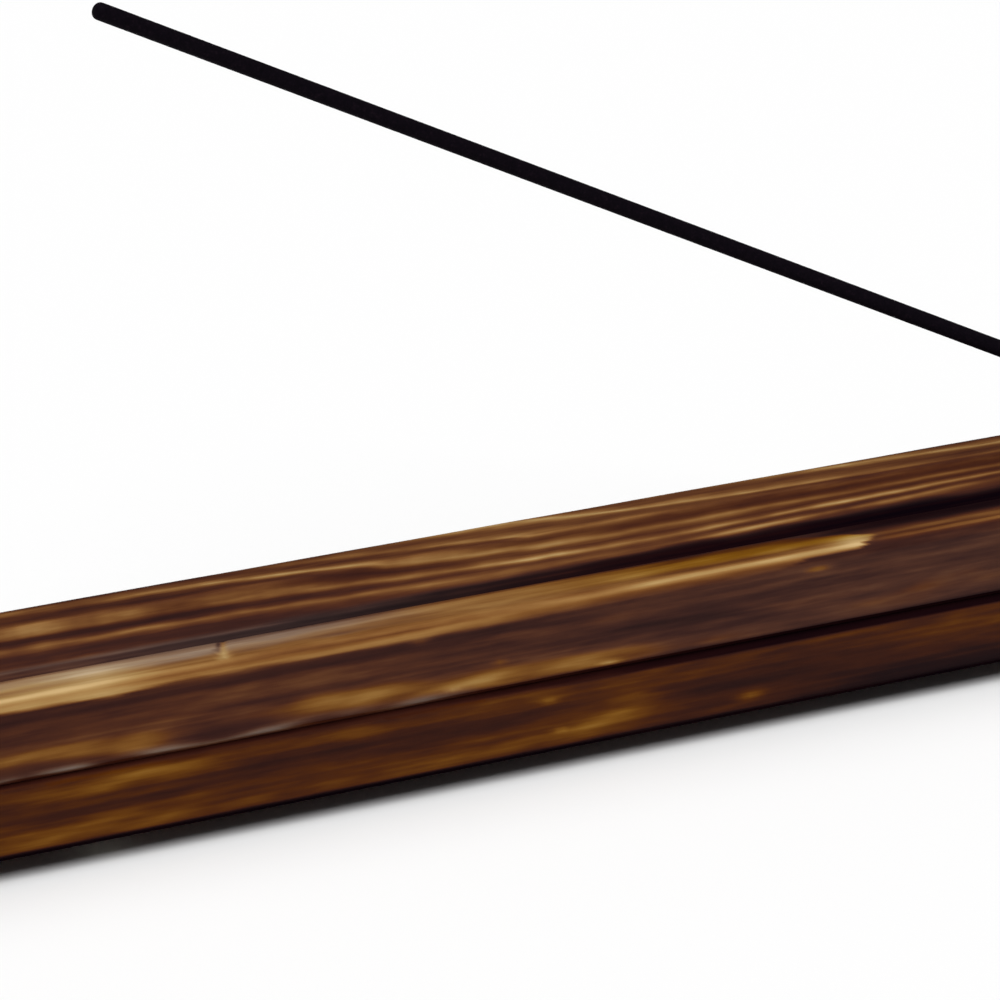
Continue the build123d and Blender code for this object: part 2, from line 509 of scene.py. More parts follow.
def uneven_years(count):
    """Makes evenly counted rings wider in some years than in others."""
    return count + 0.3 * np.sin(1.7 * count) + 0.35 * np.sin(0.6 * count + 1)


def tray_rings(points):
    """Growth rings at each point: by the light lines behind the groove's floor, tipped sheets elsewhere."""
    x, y, z = points.T
    waver = ring_waver(points, 0.26, 70 * MM, 10 * MM, 3)
    ragged = 0.08 * streaks(points, 7 * MM, 1.5 * MM, 7)
    across = sheets_across(y, z - TOP, TRAY_RING_TILT, RING_MIDDLE)
    count = uneven_years(across / RING_SPACING + waver)
    return np.where(behind_floor(points), back_rings(x, y) + 0.45 * waver + ragged, count)


def base_rings(points):
    x, y, z = points.T
    waver = ring_waver(points, 0.3, 60 * MM, 9 * MM, 13)
    across = sheets_across(y, z - SEAM, BASE_RING_TILT, -RING_MIDDLE) + BASE_RING_SLOPE * x
    return uneven_years(across / RING_SPACING + waver)


# Scorching and wear

# Lighter (or darker) places on the front faces: X, Z, half length and half height in millimetres,
# and how much
TRAY_FRONT_PLACES = (
    (-110, 20.0, 10, 1.3, 0.17),
    (-94, 19.6, 10, 1.0, 0.21),
    (-90, 18.0, 7, 0.7, 0.15),
    (-86, 21.8, 12, 0.8, 0.04),
    (-62, 24.3, 15, 1.2, 0.05),
    (-57, 19.7, 11, 1.5, 0.19),
    (-45, 19.2, 10, 1.1, 0.11),
    (-45, 17.8, 8, 0.7, 0.10),
    (-30, 18.4, 12, 1.7, 0.19),
    (-13, 18.2, 12, 1.3, 0.18),
    (-12, 24.4, 14, 0.9, 0.06),
    (10, 17.6, 9, 0.8, 0.07),
    (21, 21.5, 16, 1.2, 0.05),
    (40, 18.6, 12, 1.2, 0.06),
    (52, 20.2, 14, 1.6, 0.07),
    (-90, 26.0, 26, 0.8, -0.06),
    (-38, 26.0, 24, 0.8, -0.06),
    (-5, 22.7, 22, 1.3, -0.05),
    (32, 23.3, 22, 1.2, -0.05),
    (-76, 17.9, 10, 0.9, -0.05),
    (-42.5, 26.6, 1.6, 0.5, 0.14),
    (-37, 17.7, 1.5, 0.4, 0.22),
    (-29, 20.8, 1.2, 0.5, 0.10),
    (-10, 17.3, 2.0, 0.45, 0.24),
    (27, 26.3, 2.2, 0.45, 0.22),
)
BASE_FRONT_PLACES = (
    (-104, 13.6, 9, 1.0, 0.06),
    (-91, 13.6, 10, 1.5, 0.14),
    (-80, 13.9, 8, 0.9, 0.10),
    (-55, 13.8, 11, 0.8, 0.11),
    (-20, 13.7, 14, 0.9, 0.08),
    (10, 13.4, 14, 0.9, 0.03),
    (52, 12.4, 14, 1.2, 0.11),
    (-102, 5.9, 18, 2.2, 0.11),
    (-92, 8.0, 9, 0.9, 0.08),
    (-82, 6.0, 12, 1.9, 0.1),
    (-62, 7.2, 14, 1.8, 0.05),
    (-37, 6.0, 12, 1.3, 0.15),
    (-14, 7.4, 9, 2.2, 0.10),
    (-6, 9.5, 4, 2.6, 0.11),
    (-104, 10.4, 14, 1.6, -0.03),
    (-58, 11.2, 22, 1.3, -0.05),
    (-22, 10.9, 14, 1.2, -0.04),
    (14, 10.2, 18, 2.0, -0.05),
    (-20.5, 12.9, 1.5, 0.5, 0.12),
    (-18.5, 7.7, 1.2, 0.5, 0.14),
    (15, 7.2, 2.2, 0.8, 0.13),
)
# The same on the rubbed front land, with the distance over the surface from the groove's rim in place of Z
LAND_PLACES = (
    (-94, 4.5, 7, 4, 0.16),
    (-104, 7.2, 19, 1.0, 0.17),
    (35, 5.8, 4, 1.7, 0.3),
)
# Lighter (or darker) lines along that land: distance from the rim and half width in millimetres, and how much
LEFT_LAND_LINES = ((2.6, 1.3, 0.05), (5.4, 1.2, -0.06), (8.9, 0.5, 0.05), (8.0, 0.35, -0.08))
RIGHT_LAND_LINES = ((7.5, 0.6, 0.24), (5.6, 0.8, -0.08), (3.6, 1.1, 0.05))

# Amounts along the boards, for X in millimetres
BACK_TONES = {-100: 0.13, -70: 0.13, -50: 0.155, -15: 0.205, 20: 0.18, 70: 0.15}
# Soot in the groove with painted shade from its front rim: half width and tone along X, wider and blacker to
# the right
SOOT_AND_SHADE_HALF_WIDTHS = {-110: 3.4, -20: 4.0, 75: 4.3}  # millimetres
SOOT_AND_SHADE_TONES = {-100: 0.2, -70: 0.15, -45: 0.1, -15: 0.07, 20: 0.05, 60: 0.02}
# Painted sheen on the groove's black: how grey it goes along X
GROOVE_SHEENS = {-100: 0.2, -60: 0.5, -30: 0.45, 10: 0.15}
LAND_TONES = {-105: 0.46, -83: 0.39, -67: 0.375, -48: 0.345, -38: 0.375, -20: 0.35, 10: 0.325, 40: 0.335}
# In millimetres over the surface from the groove's rim
LAND_WIDTHS = {-101: 9.2, -92: 9.5, -83: 9.0, -77: 9.1, -58: 9.5, -38: 9.5, -10: 9.2, 10: 9.2, 30: 8.6}
# How strongly the painted grey sheen shows near the groove's front rim, along X
SHEEN_SHARES = {-104: 0.5, -84: 1.0}
CREPT_WIDTHS = {-45: 1.6, 5: 1.0}  # millimetres
CREPT_SHARES = {-45: 0.5, 5: 1}
RIM_LINE_TONES = {36: 0.14, 55: 0.16, 75: 0.24}
# The tray's lower edge at the seam: tone of its charring and painted shade, darker to the right; share of its
# painted grey reflection
SEAM_BURN_AND_SHADE_TONES = {-30: 0.13, 20: 0.05}
SEAM_SHEEN_SHARES = {-42: 1, -32: 0}
# The base's upper edge at the seam: width and tone of its charring and painted shade, wider and darker to the
# right
BURNT_AND_SHADE_WIDTHS = {-45: 0.35, 5: 1.0}  # millimetres
BURNT_AND_SHADE_TONES = {-30: 0.12, 20: 0.05}
# Where the rubbed front land ends at the chip: for a distance from the groove's rim, X, both in millimetres
CHIP_ENDS = {0: 24, 2.0: 30, 3.6: 36, 5.0: 39, 6.8: 38, 7.4: 35, 8.0: 36, 8.4: 25, 9.4: 20}

SOFT_EDGE = 0.9 * MM  # half the width over which soot fades out, and rubbed wood where it is softest
BEVEL_FACE = 1.2 * MM  # how far in from the front the seam's bevel is marked


class Scorch:
    """What the torch and wear left at each point of a board, with painted shade and painted sheen in places;
    it starts as end grain of this tone.

    tone is how light it is, figure how strongly the rings stand out, haze_and_sheen how grey the wood looks
    from hazed varnish and from painted sheen (yellow where negative) and gloss how much varnish is left.
    broad, ragged and fine are streaks along the grain."""

    def __init__(self, points, tone, broad_width, seed):
        self.points = points
        self.x, self.y, self.z = points.T
        self.broad = streaks(points, 60 * MM, broad_width, seed)
        self.ragged = streaks(points, 9 * MM, 1.6 * MM, seed + 2)
        self.fine = streaks(points, 22 * MM, 0.7 * MM, seed + 4)
        self.tone = tone + 0.05 * self.broad + 0.02 * self.ragged
        self.figure = np.full(len(points), 0.12)
        self.haze_and_sheen = np.zeros(len(points))
        self.gloss = np.ones(len(points))

    def lay(self, share, tone, figure, haze_and_sheen):
        """Lays another state over this one, as far as share says."""
        self.tone = blend(self.tone, tone, share)
        self.figure = blend(self.figure, figure, share)
        self.haze_and_sheen = blend(self.haze_and_sheen, haze_and_sheen, share)

    def char(self, share, tone):
        """Blackens the wood and takes the varnish away, as far as share says: charring, and painted shade
        where the callers lay it.
        """
        self.lay(share, tone, 0.02, 0.0)
        self.gloss = blend(self.gloss, 0.0, share)

    def write(self, made):
        write_attribute(made, "tone", np.clip(self.tone, 0.02, 0.9))
        write_attribute(made, "figure", self.figure)
        write_attribute(made, "haze_and_sheen", np.clip(self.haze_and_sheen, -0.5, 1))
        write_attribute(made, "gloss", self.gloss)


def place_light(x, across, places):
    """How much lighter the listed places make the wood."""
    light = np.zeros_like(x)
    for *oval, lighter in places:
        light += lighter * patch(x, across, *[size * MM for size in oval])
    return light


def line_light(run, lines):
    """How much lighter the listed lines make the front land."""
    return sum(lighter * band(run, centre * MM, half * MM) for centre, half, lighter in lines)


def front_light(scorch, places):
    """How much lighter a front face's places make it, with ragged edges."""
    return np.maximum(0, 0.9 + 0.8 * scorch.ragged) * place_light(scorch.x, scorch.z, places)


def lay_back(scorch, tone, haze_and_sheen, places):
    """A board's back face, with its front face's places mirrored."""
    back = smoothstep(HALF_WIDTH - 1 * MM, HALF_WIDTH - 0.3 * MM, scorch.y) * lengthwise(scorch.x)
    uneven = 0.04 * scorch.broad + 0.02 * scorch.ragged
    scorch.lay(back, tone + uneven + place_light(-scorch.x, scorch.z, places), 0.04, haze_and_sheen)


def lay_behind_groove(scorch):
    """The back land and the back slope of the groove, with their light growth-ring lines."""
    x, y = scorch.x, scorch.y
    behind = smoothstep(-1 * MM, 3 * MM, y) * above_floor(scorch.z) * lengthwise(x)
    strength = back_strength(x, back_rings(x, y))
    tone = by_place(x, BACK_TONES) + 0.02 * scorch.broad + 0.09 * strength
    tone += 0.03 * smoothstep(8.5 * MM, 10 * MM, y) + 0.02 * smoothstep(0, 30 * MM, x)
    scorch.lay(behind, tone, 0.32 * strength, 0.02)


def lay_soot_and_shade(scorch):
    """Soot along the groove's floor with painted shade from the front rim, both blacker and wider to the
    right, and a painted highlight line behind it on the left.
    """
    x, y = scorch.x, scorch.y
    in_groove = (groove_depth(x, y) > 0.2 * MM) & above_floor(scorch.z)
    from_middle = from_cove_line(x, np.maximum(y, 0))
    edge = by_place(x, SOOT_AND_SHADE_HALF_WIDTHS) * MM + 0.5 * MM * scorch.ragged
    # Soot, and painted shade cast by the groove's front rim
    soot_and_shade = smoothstep(edge + SOFT_EDGE, edge - SOFT_EDGE, from_middle) * in_groove
    tone = by_place(x, SOOT_AND_SHADE_TONES) + 0.02 * scorch.fine
    scorch.lay(soot_and_shade, tone, 0.03, by_place(x, GROOVE_SHEENS))
    scorch.char(soot_and_shade * smoothstep(-60 * MM, 20 * MM, x), tone)
    # A painted highlight line along the groove's back slope, on the left
    highlight_line = band(from_middle, 3.4 * MM + 0.3 * MM * scorch.broad, 0.35 * MM) * in_groove
    highlight_line *= smoothstep(-50 * MM, -62 * MM, x) * smoothstep(-1 * MM, 2 * MM, y)
    scorch.lay(0.7 * highlight_line, 0.26, 0.03, 0.6)


def char_socket(scorch):
    offset = scorch.points - np.array(socket_floor)
    from_axis = np.linalg.norm(np.cross(offset, np.array(stick_direction)), axis=1)
    scorch.char(0.9 * (from_axis < SOCKET_RADIUS + 0.05 * MM), 0.05)


def lay_tray_front(scorch, front):
    """The tray's front face, dark with lighter places; the varnish is greyer to the right."""
    light = front_light(scorch, TRAY_FRONT_PLACES)
    tone = 0.17 + 0.02 * scorch.broad + 0.02 * scorch.ragged + 0.012 * scorch.fine
    dark_haze = 0.04 + 0.14 * smoothstep(-110 * MM, 75 * MM, scorch.x)
    haze_and_sheen = blend(dark_haze, -0.05, smoothstep(0.02, 0.12, light))
    scorch.lay(front, tone + light, 0.02, haze_and_sheen)


def land_tone(scorch, run):
    """How light the rubbed front land is, with its lighter and darker lines along the grain."""
    x = scorch.x
    left = smoothstep(-22 * MM, -45 * MM, x)
    right = smoothstep(-25 * MM, 5 * MM, x)
    tone = by_place(x, LAND_TONES) + place_light(x, run, LAND_PLACES)
    tone += 0.03 * scorch.broad + 0.035 * scorch.ragged + 0.035 * scorch.fine
    tone += left * line_light(run, LEFT_LAND_LINES)
    tone += right * (line_light(run, RIGHT_LAND_LINES) - 0.14 * smoothstep(3.2 * MM, 0.4 * MM, run))
    tone += (0.08 + 0.16 * smoothstep(2 * MM, 5 * MM, run)) * nick_share(scorch.points)
    # Painted shadow along the nick's left side
    return tone - 0.22 * nick_shadow_share(scorch.points)


def land_sheen_and_tint(scorch, run):
    """Painted grey sheen near the groove's rim, left of the middle, and yellower varnish on the right."""
    x = scorch.x
    left = smoothstep(-32 * MM, -66 * MM, x) * by_place(x, SHEEN_SHARES)
    near_rim = smoothstep(6.5 * MM, 1.5 * MM, run + 1.6 * MM * scorch.ragged)
    # Painted sheen: grey near the rim, left of the middle
    bloom_and_sheen = left * (0.5 + 0.2 * scorch.fine) * near_rim
    yellow = 0.14 * smoothstep(-35 * MM, 15 * MM, x) * smoothstep(6.5 * MM, 4 * MM, run)
    return (bloom_and_sheen - yellow) * (1 - 0.9 * nick_share(scorch.points))


def lay_rubbed_land(scorch, front, run):
    """The front land and front round, rubbed light up to the chip. Returns the share that is rubbed."""
    x = scorch.x
    lower_edge = by_place(x, LAND_WIDTHS) * MM + 0.25 * MM * scorch.ragged
    soft = blend(0.25 * MM, SOFT_EDGE, smoothstep(-50 * MM, -10 * MM, x))
    end = by_place(run, CHIP_ENDS) * MM + 1.5 * MM * scorch.ragged + 1.0 * MM * scorch.fine
    rubbed_and_sheen = smoothstep(-0.3 * MM, 0.15 * MM, run) * smoothstep(lower_edge + soft, lower_edge - soft, run)
    rubbed_and_sheen *= smoothstep(end + SOFT_EDGE, end - SOFT_EDGE, x) * front
    scorch.lay(rubbed_and_sheen, land_tone(scorch, run), 0.05, land_sheen_and_tint(scorch, run))
    return rubbed_and_sheen


def char_rim(scorch, front, run):
    """Soot that has crept over the groove's front rim."""
    reach = by_place(scorch.x, CREPT_WIDTHS) * MM + 0.7 * MM * scorch.ragged
    crept = smoothstep(reach, 0.1 * MM, run) * by_place(scorch.x, CREPT_SHARES) * front
    scorch.char(0.75 * crept, 0.07)


def lay_past_chip(scorch, front, run, rubbed_and_sheen):
    """Past the chip: charred rim, an orange streak and one thin light line."""
    x = scorch.x
    past_chip = smoothstep(CHIP_X - 4 * MM, CHIP_X + 6 * MM, x) * front * (1 - rubbed_and_sheen)
    charred = smoothstep(4.5 * MM, 1.5 * MM, run) * smoothstep(18 * MM, 44 * MM, x) * front
    charred *= smoothstep(124 * MM, 96 * MM, x + 6 * MM * scorch.ragged)
    scorch.lay(past_chip * smoothstep(8.6 * MM, 7.6 * MM, run), 0.15 + 0.03 * scorch.fine, 0.03, 0.0)
    scorch.char(0.9 * charred, 0.04)
    scorch.tone += past_chip * (0.12 + 0.04 * scorch.ragged) * band(run, 5.4 * MM, 1.3 * MM)
    scorch.tone += past_chip * by_place(x, RIM_LINE_TONES) * band(run, 7.1 * MM, 0.4 * MM)


def lay_seam(scorch):
    """The tray's lower edge at the seam, charred and with painted shade that darkens it to the right, and a
    painted grey reflection on the left.
    """
    x, z = scorch.x, scorch.z
    in_front = scorch.y < -HALF_WIDTH + BEVEL_FACE
    # Charring, and painted shade in the seam, darker to the right
    charred_and_shaded = smoothstep(SEAM + 1.1 * MM, SEAM + 0.7 * MM, z) * in_front
    scorch.char(charred_and_shaded, by_place(x, SEAM_BURN_AND_SHADE_TONES))
    # A painted grey reflection along the tray's lower edge, on the left
    rubbed_and_sheen = band(z, SEAM + 0.95 * MM, 0.6 * MM) * in_front
    rubbed_and_sheen *= by_place(x, SEAM_SHEEN_SHARES) * smoothstep(-0.7, 0.3, scorch.ragged + 0.6 * scorch.broad)
    scorch.lay(rubbed_and_sheen, 0.34, 0.02, 0.75)


def tray_scorch(points):
    scorch = Scorch(points, 0.14, 10 * MM, 21)
    lay_back(scorch, 0.18, 0.05, TRAY_FRONT_PLACES)
    lay_behind_groove(scorch)
    lay_soot_and_shade(scorch)
    char_socket(scorch)
    run = tray_run(scorch.y, scorch.z)
    front = (scorch.y < -GROOVE_HALF_WIDTH + 0.6 * MM) & (scorch.z > SEAM + 0.2 * MM)
    front = front * lengthwise(scorch.x)
    lay_tray_front(scorch, front)
    rubbed_and_sheen = lay_rubbed_land(scorch, front, run)
    char_rim(scorch, front, run)
    lay_past_chip(scorch, front, run, rubbed_and_sheen)
    lay_seam(scorch)
    return scorch


def lay_base_front(scorch):
    """The base's front face, with lighter places, and painted shade that darkens it low down on the right."""
    front = smoothstep(-HALF_WIDTH + 1.3 * MM, -HALF_WIDTH + 0.9 * MM, scorch.y) * lengthwise(scorch.x)
    tone = 0.165 + 0.02 * scorch.broad + 0.015 * scorch.ragged + 0.012 * scorch.fine
    tone += front_light(scorch, BASE_FRONT_PLACES)
    # Painted shade: darker low down towards the right
    tone -= 0.1 * smoothstep(0, 50 * MM, scorch.x) * smoothstep(10 * MM, 5 * MM, scorch.z)
    scorch.lay(front, tone, 0.02, -0.1)


def char_and_shade_base_edges(scorch):
    """The base's upper edge at the seam, charred, with painted shade that widens and darkens it to the right,
    and the bevels along its underside blackened as charring and as painted shade under the board.
    """
    charred_and_shaded_to = SEAM - by_place(scorch.x, BURNT_AND_SHADE_WIDTHS) * MM
    scorch.char(smoothstep(charred_and_shaded_to - 0.4 * MM, charred_and_shaded_to, scorch.z), by_place(scorch.x, BURNT_AND_SHADE_TONES))
    # Charring, and painted shade under the board, on the underside's bevels
    low = smoothstep(UNDERSIDE + 1.5 * MM, UNDERSIDE + 0.8 * MM, scorch.z)
    at_side = smoothstep(HALF_WIDTH - 3 * MM, HALF_WIDTH - 1.2 * MM, np.abs(scorch.y))
    scorch.char(low * at_side, 0.03)


def base_scorch(points):
    scorch = Scorch(points, 0.13, 9 * MM, 31)
    lay_back(scorch, 0.17, -0.08, BASE_FRONT_PLACES)
    lay_base_front(scorch)
    char_and_shade_base_edges(scorch)
    return scorch


# The two boards, cut and scorched

UP = (0, 0, 1)
HOLE_SIDES = 40
PILOT_SIDES = 32


def make_tray():
    tray = board("tray_wood", SEAM, TOP, True, TRAY_ZONES, 41)
    bore = [(0, SOCKET_RADIUS), (SOCKET_DEPTH + OVERRUN, SOCKET_RADIUS)]
    socket = turned("socket_cutter", socket_floor, stick_direction, bore, HOLE_SIDES)
    pilot_radius = SCREW_RADIUS + PILOT_CLEARANCE
    pilot_top = UNDERSIDE + SCREW_LENGTH + PILOT_CLEARANCE
    pilot = [(SEAM - OVERRUN, pilot_radius), (pilot_top, pilot_radius)]
    pilots = [turned("pilot_cutter", place, UP, pilot, PILOT_SIDES) for place in screw_places]
    cut(tray, [socket] + pilots)
    points = points_of(tray)
    write_attribute(tray, "ring", tray_rings(points))
    tray_scorch(points).write(tray)
    return tray


def make_base():
    base = board("base_wood", UNDERSIDE, SEAM, False, (), 47)
    hole = SCREW_RADIUS + SCREW_CLEARANCE
    mouth = SCREW_HEAD_RADIUS + SCREW_CLEARANCE
    countersunk = [
        (UNDERSIDE - OVERRUN, mouth),
        (UNDERSIDE, mouth),
        (UNDERSIDE + mouth - hole, hole),
        (SEAM + OVERRUN, hole),
    ]
    cut(base, [turned("hole_cutter", place, UP, countersunk, HOLE_SIDES) for place in screw_places])
    points = points_of(base)
    write_attribute(base, "ring", base_rings(points))
    base_scorch(points).write(base)
    return base


# Stick

PASTE_RELIEF = 0.03 * MM
PASTE_GRAIN = 0.5 * MM
PASTE_SPACING = 0.45 * MM
PASTE_SIDES = 28
PASTE_SEED = 51
BORE_STEPS = 60
TAPER_STEPS = 12
TIP_STEPS = 8
FIBRE_RELIEF = 0.03 * MM
FIBRE_WIDTH = 0.28 * MM
FIBRE_LENGTH = 25 * MM
BAMBOO_STEPS = 200
BAMBOO_SIDES = 40
BAMBOO_EASE = 0.1 * MM  # bevel at its lower end


def paste_profile():
    """From the bore's upper end down to the thin lower lip, and outside up to the rounded tip."""
    bore = CORE_RADIUS + PASTE_FIT
    tip = STICK_LENGTH - TIP_ROUND
    full = BARE_LENGTH + PASTE_TAPER
    profile = [(along, bore) for along in np.linspace(core_end, BARE_LENGTH, BORE_STEPS)]
    profile.append((BARE_LENGTH, bore + PASTE_LIP))
    for share in np.linspace(0, 1, TAPER_STEPS)[1:]:
        swell = sin(share * pi / 2)
        profile.append((BARE_LENGTH + PASTE_TAPER * share, blend(bore + PASTE_LIP, PASTE_RADIUS, swell)))
    count = round((tip - full) / PASTE_SPACING)
    profile += [(along, PASTE_RADIUS) for along in np.linspace(full, tip, count)[1:]]
    for turn in np.linspace(0, pi / 2, TIP_STEPS)[1:]:
        profile.append((tip + TIP_ROUND * sin(turn), PASTE_RADIUS - TIP_ROUND * (1 - cos(turn))))
    return profile


def make_paste():
    """The black paste, rough with grains."""
    paste = turned("stick_paste", socket_floor, stick_direction, paste_profile(), PASTE_SIDES)
    normals = np.empty(len(paste.data.vertices) * 3)
    paste.data.vertices.foreach_get("normal", normals)
    grain = from_zero(smooth_noise(points_of(paste) / PASTE_GRAIN + PASTE_SEED))
    press_in(paste, normals.reshape(-1, 3), PASTE_RELIEF * grain)
    return paste


def make_bamboo():
    """The bamboo core, slightly uneven along its fibres."""
    profile = [(0, CORE_RADIUS - BAMBOO_EASE)]
    profile += [(along, CORE_RADIUS) for along in np.linspace(BAMBOO_EASE, core_end, BAMBOO_STEPS)]
    bamboo = turned("stick_bamboo", socket_floor, stick_direction, profile, BAMBOO_SIDES)
    offset = points_of(bamboo) - np.array(socket_floor)
    along = offset @ np.array(stick_direction)
    radial = offset - np.outer(along, stick_direction)
    places = radial / FIBRE_WIDTH + np.outer(along / FIBRE_LENGTH, stick_direction)
    press_in(bamboo, radial / CORE_RADIUS, FIBRE_RELIEF * from_zero(smooth_noise(places)))
    return bamboo


# Feet

FOOT_TREAD_RADIUS = 4.7 * MM
FOOT_BEVEL = 0.7 * MM
FOOT_SIDES = 64
DISH_STEPS = 6
BEVEL_STEPS = 8
SIDE_STEPS = 10
TREAD_DISH_RADIUS = 2.4 * MM
TREAD_DISH_DEPTH = 0.35 * MM
TREAD_DISH_FLAT = 0.4 * MM  # radius of the dish's flat middle
TREAD_DISH_START = 0.6  # share of the dish's radius from which its side curves out
SKIRT_HEIGHT = 0.45 * MM
SKIRT_STEP = 0.25 * MM
SKIRT_EASE = 0.04 * MM
SKIRT_FULL = 0.8  # share of the skirt's height that has the foot's full radius
WAIST = 0.12 * MM
FOOT_NAMES = ("foot_front_left", "foot_front_right", "foot_back_left", "foot_back_right")


def foot_profile(radius, height):
    """A dished tread, a rounded tread edge, a slight waist and a thin skirt where the foot is stuck on."""
    skirt = height - SKIRT_HEIGHT
    profile = [(TREAD_DISH_DEPTH, TREAD_DISH_FLAT)]
    for turn in np.linspace(0, pi / 2, DISH_STEPS)[1:]:
        dish = TREAD_DISH_RADIUS * blend(TREAD_DISH_START, 1.0, 1 - cos(turn))
        profile.append((TREAD_DISH_DEPTH * (1 - sin(turn)), dish))
    for turn in np.linspace(0, pi / 2, BEVEL_STEPS):
        edge = FOOT_TREAD_RADIUS - FOOT_BEVEL * (1 - sin(turn))
        profile.append((FOOT_BEVEL * (1 - cos(turn)), edge))
    for share in np.linspace(0, 1, SIDE_STEPS)[1:]:
        side = blend(FOOT_TREAD_RADIUS, radius - SKIRT_STEP, share) - WAIST * sin(pi * share)
        profile.append((blend(FOOT_BEVEL, skirt, share), side))
    profile += [(skirt, radius - SKIRT_EASE), (height - SKIRT_HEIGHT * SKIRT_FULL, radius), (height, radius)]
    return profile


def make_foot(node):
    """A moulded rubber foot."""
    low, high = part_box(node)
    middle = (low + high) / 2
    profile = foot_profile((high.x - low.x) / 2, high.z - low.z)
    return turned(node + "_rubber", (middle.x, middle.y, low.z), UP, profile, FOOT_SIDES)


# Materials

class Nodes:
    """Adds a material's nodes. Most methods take numbers or outputs, and return the new node's output."""

    def __init__(self, name):
        self.material = bpy.data.materials.new(name)
        self.material.use_nodes = True
        self.tree = self.material.node_tree
        self.tree.nodes.clear()

    def add(self, kind, inputs, **settings):
        """The new node itself."""
        node = self.tree.nodes.new("ShaderNode" + kind)
        for setting, value in settings.items():
            setattr(node, setting, value)
        for socket, value in inputs.items():
            if isinstance(value, bpy.types.NodeSocket):
                self.tree.links.new(value, node.inputs[socket])
            else:
                node.inputs[socket].default_value = value
        return node

    def math(self, operation, *values):
        return self.add("Math", dict(enumerate(values)), operation=operation).outputs[0]

    def scaled(self, value, factor, offset=0.0):
        return self.math("MULTIPLY_ADD", value, factor, offset)

    def attribute(self, name):
        return self.add("Attribute", {}, attribute_name=name).outputs["Fac"]

    def place(self, scale=(1, 1, 1), turn=(0, 0, 0)):
        """The object's own coordinates, turned and stretched."""
        where = self.add("TexCoord", {}).outputs["Object"]
        turned_place = self.add("Mapping", {"Vector": where, "Rotation": turn}).outputs[0]
        return self.add("Mapping", {"Vector": turned_place, "Scale": scale}).outputs[0]

    def noise(self, vector, detail=2.0, scale=1.0):
        inputs = {"Vector": vector, "Scale": scale, "Detail": detail}
        return self.add("TexNoise", inputs).outputs[0]

    def ramp(self, value, stops):
        node = self.add("ValToRGB", {0: value})
        elements = node.color_ramp.elements
        while len(elements) < len(stops):
            elements.new(1.0)
        for element, (position, colour) in zip(elements, stops):
            element.position = position
            element.color = colour
        return node.outputs[0]

    def bump(self, height, strength, distance):
        return self.add("Bump", {"Height": height, "Strength": strength, "Distance": distance}).outputs[0]

    def finish(self, inputs):
        """Closes the material with these inputs of its shader, and returns it."""
        shader = self.add("BsdfPrincipled", inputs)
        self.add("OutputMaterial", {"Surface": shader.outputs[0]})
        return self.material


LINE_PROFILE = (
    (0.0, grey(0.06)),
    (0.22, grey(0.2)),
    (0.38, grey(0.68)),
    (0.5, grey(1.0)),
    (0.6, grey(0.82)),
    (0.78, grey(0.33)),
    (1.0, grey(0.06)),
)
TORCHED_COLOURS = (
    (0.02, srgb(10, 4, 9)),
    (0.08, srgb(30, 11, 12)),
    (0.15, srgb(56, 25, 17)),
    (0.2, srgb(75, 37, 18)),
    (0.27, srgb(98, 57, 26)),
    (0.35, srgb(121, 79, 38)),
    (0.44, srgb(143, 103, 56)),
    (0.54, srgb(162, 128, 78)),
    (0.65, srgb(190, 158, 108)),
    (0.8, srgb(210, 184, 136)),
)
# Noise in the wood: patches for each metre along and across the grain
LINE_RATES = (55, 0, 0)
FIBRE_RATES = (45, 1700, 1700)
STREAK_RATES = (15, 450, 450)
CLOUD_RATES = (22, 200, 200)
MOTTLE_RATES = (110, 800, 800)
LINE_STEP = 3.7  # noise patches from one line's strength to the next line's


def ring_lines(wood):
    """The light growth-ring lines, each with a strength of its own that comes and goes along the grain."""
    ring = wood.attribute("ring")
    line = wood.ramp(wood.math("FRACT", ring), LINE_PROFILE)
    along = wood.add("SeparateXYZ", {0: wood.place(LINE_RATES)}).outputs[0]
    number = wood.scaled(wood.math("FLOOR", ring), LINE_STEP)
    own_place = wood.add("CombineXYZ", {0: along, 1: number}).outputs[0]
    own_strength = wood.noise(own_place, detail=3.0)
    return wood.math("MULTIPLY", line, wood.scaled(own_strength, 2.6, -0.3))


def uneven_wood(wood, fibre, cloud):
    """How much lighter or darker than its tone the wood is from place to place, about 1."""
    streak = wood.noise(wood.place(STREAK_RATES), detail=4.0)
    mottle = wood.noise(wood.place(MOTTLE_RATES), detail=4.0)
    uneven = wood.scaled(fibre, 0.3, 0.85)
    for layer, swing in ((streak, 0.5), (cloud, 0.5), (mottle, 0.7)):
        uneven = wood.math("MULTIPLY", uneven, wood.scaled(layer, swing, 1 - swing / 2))
    return uneven


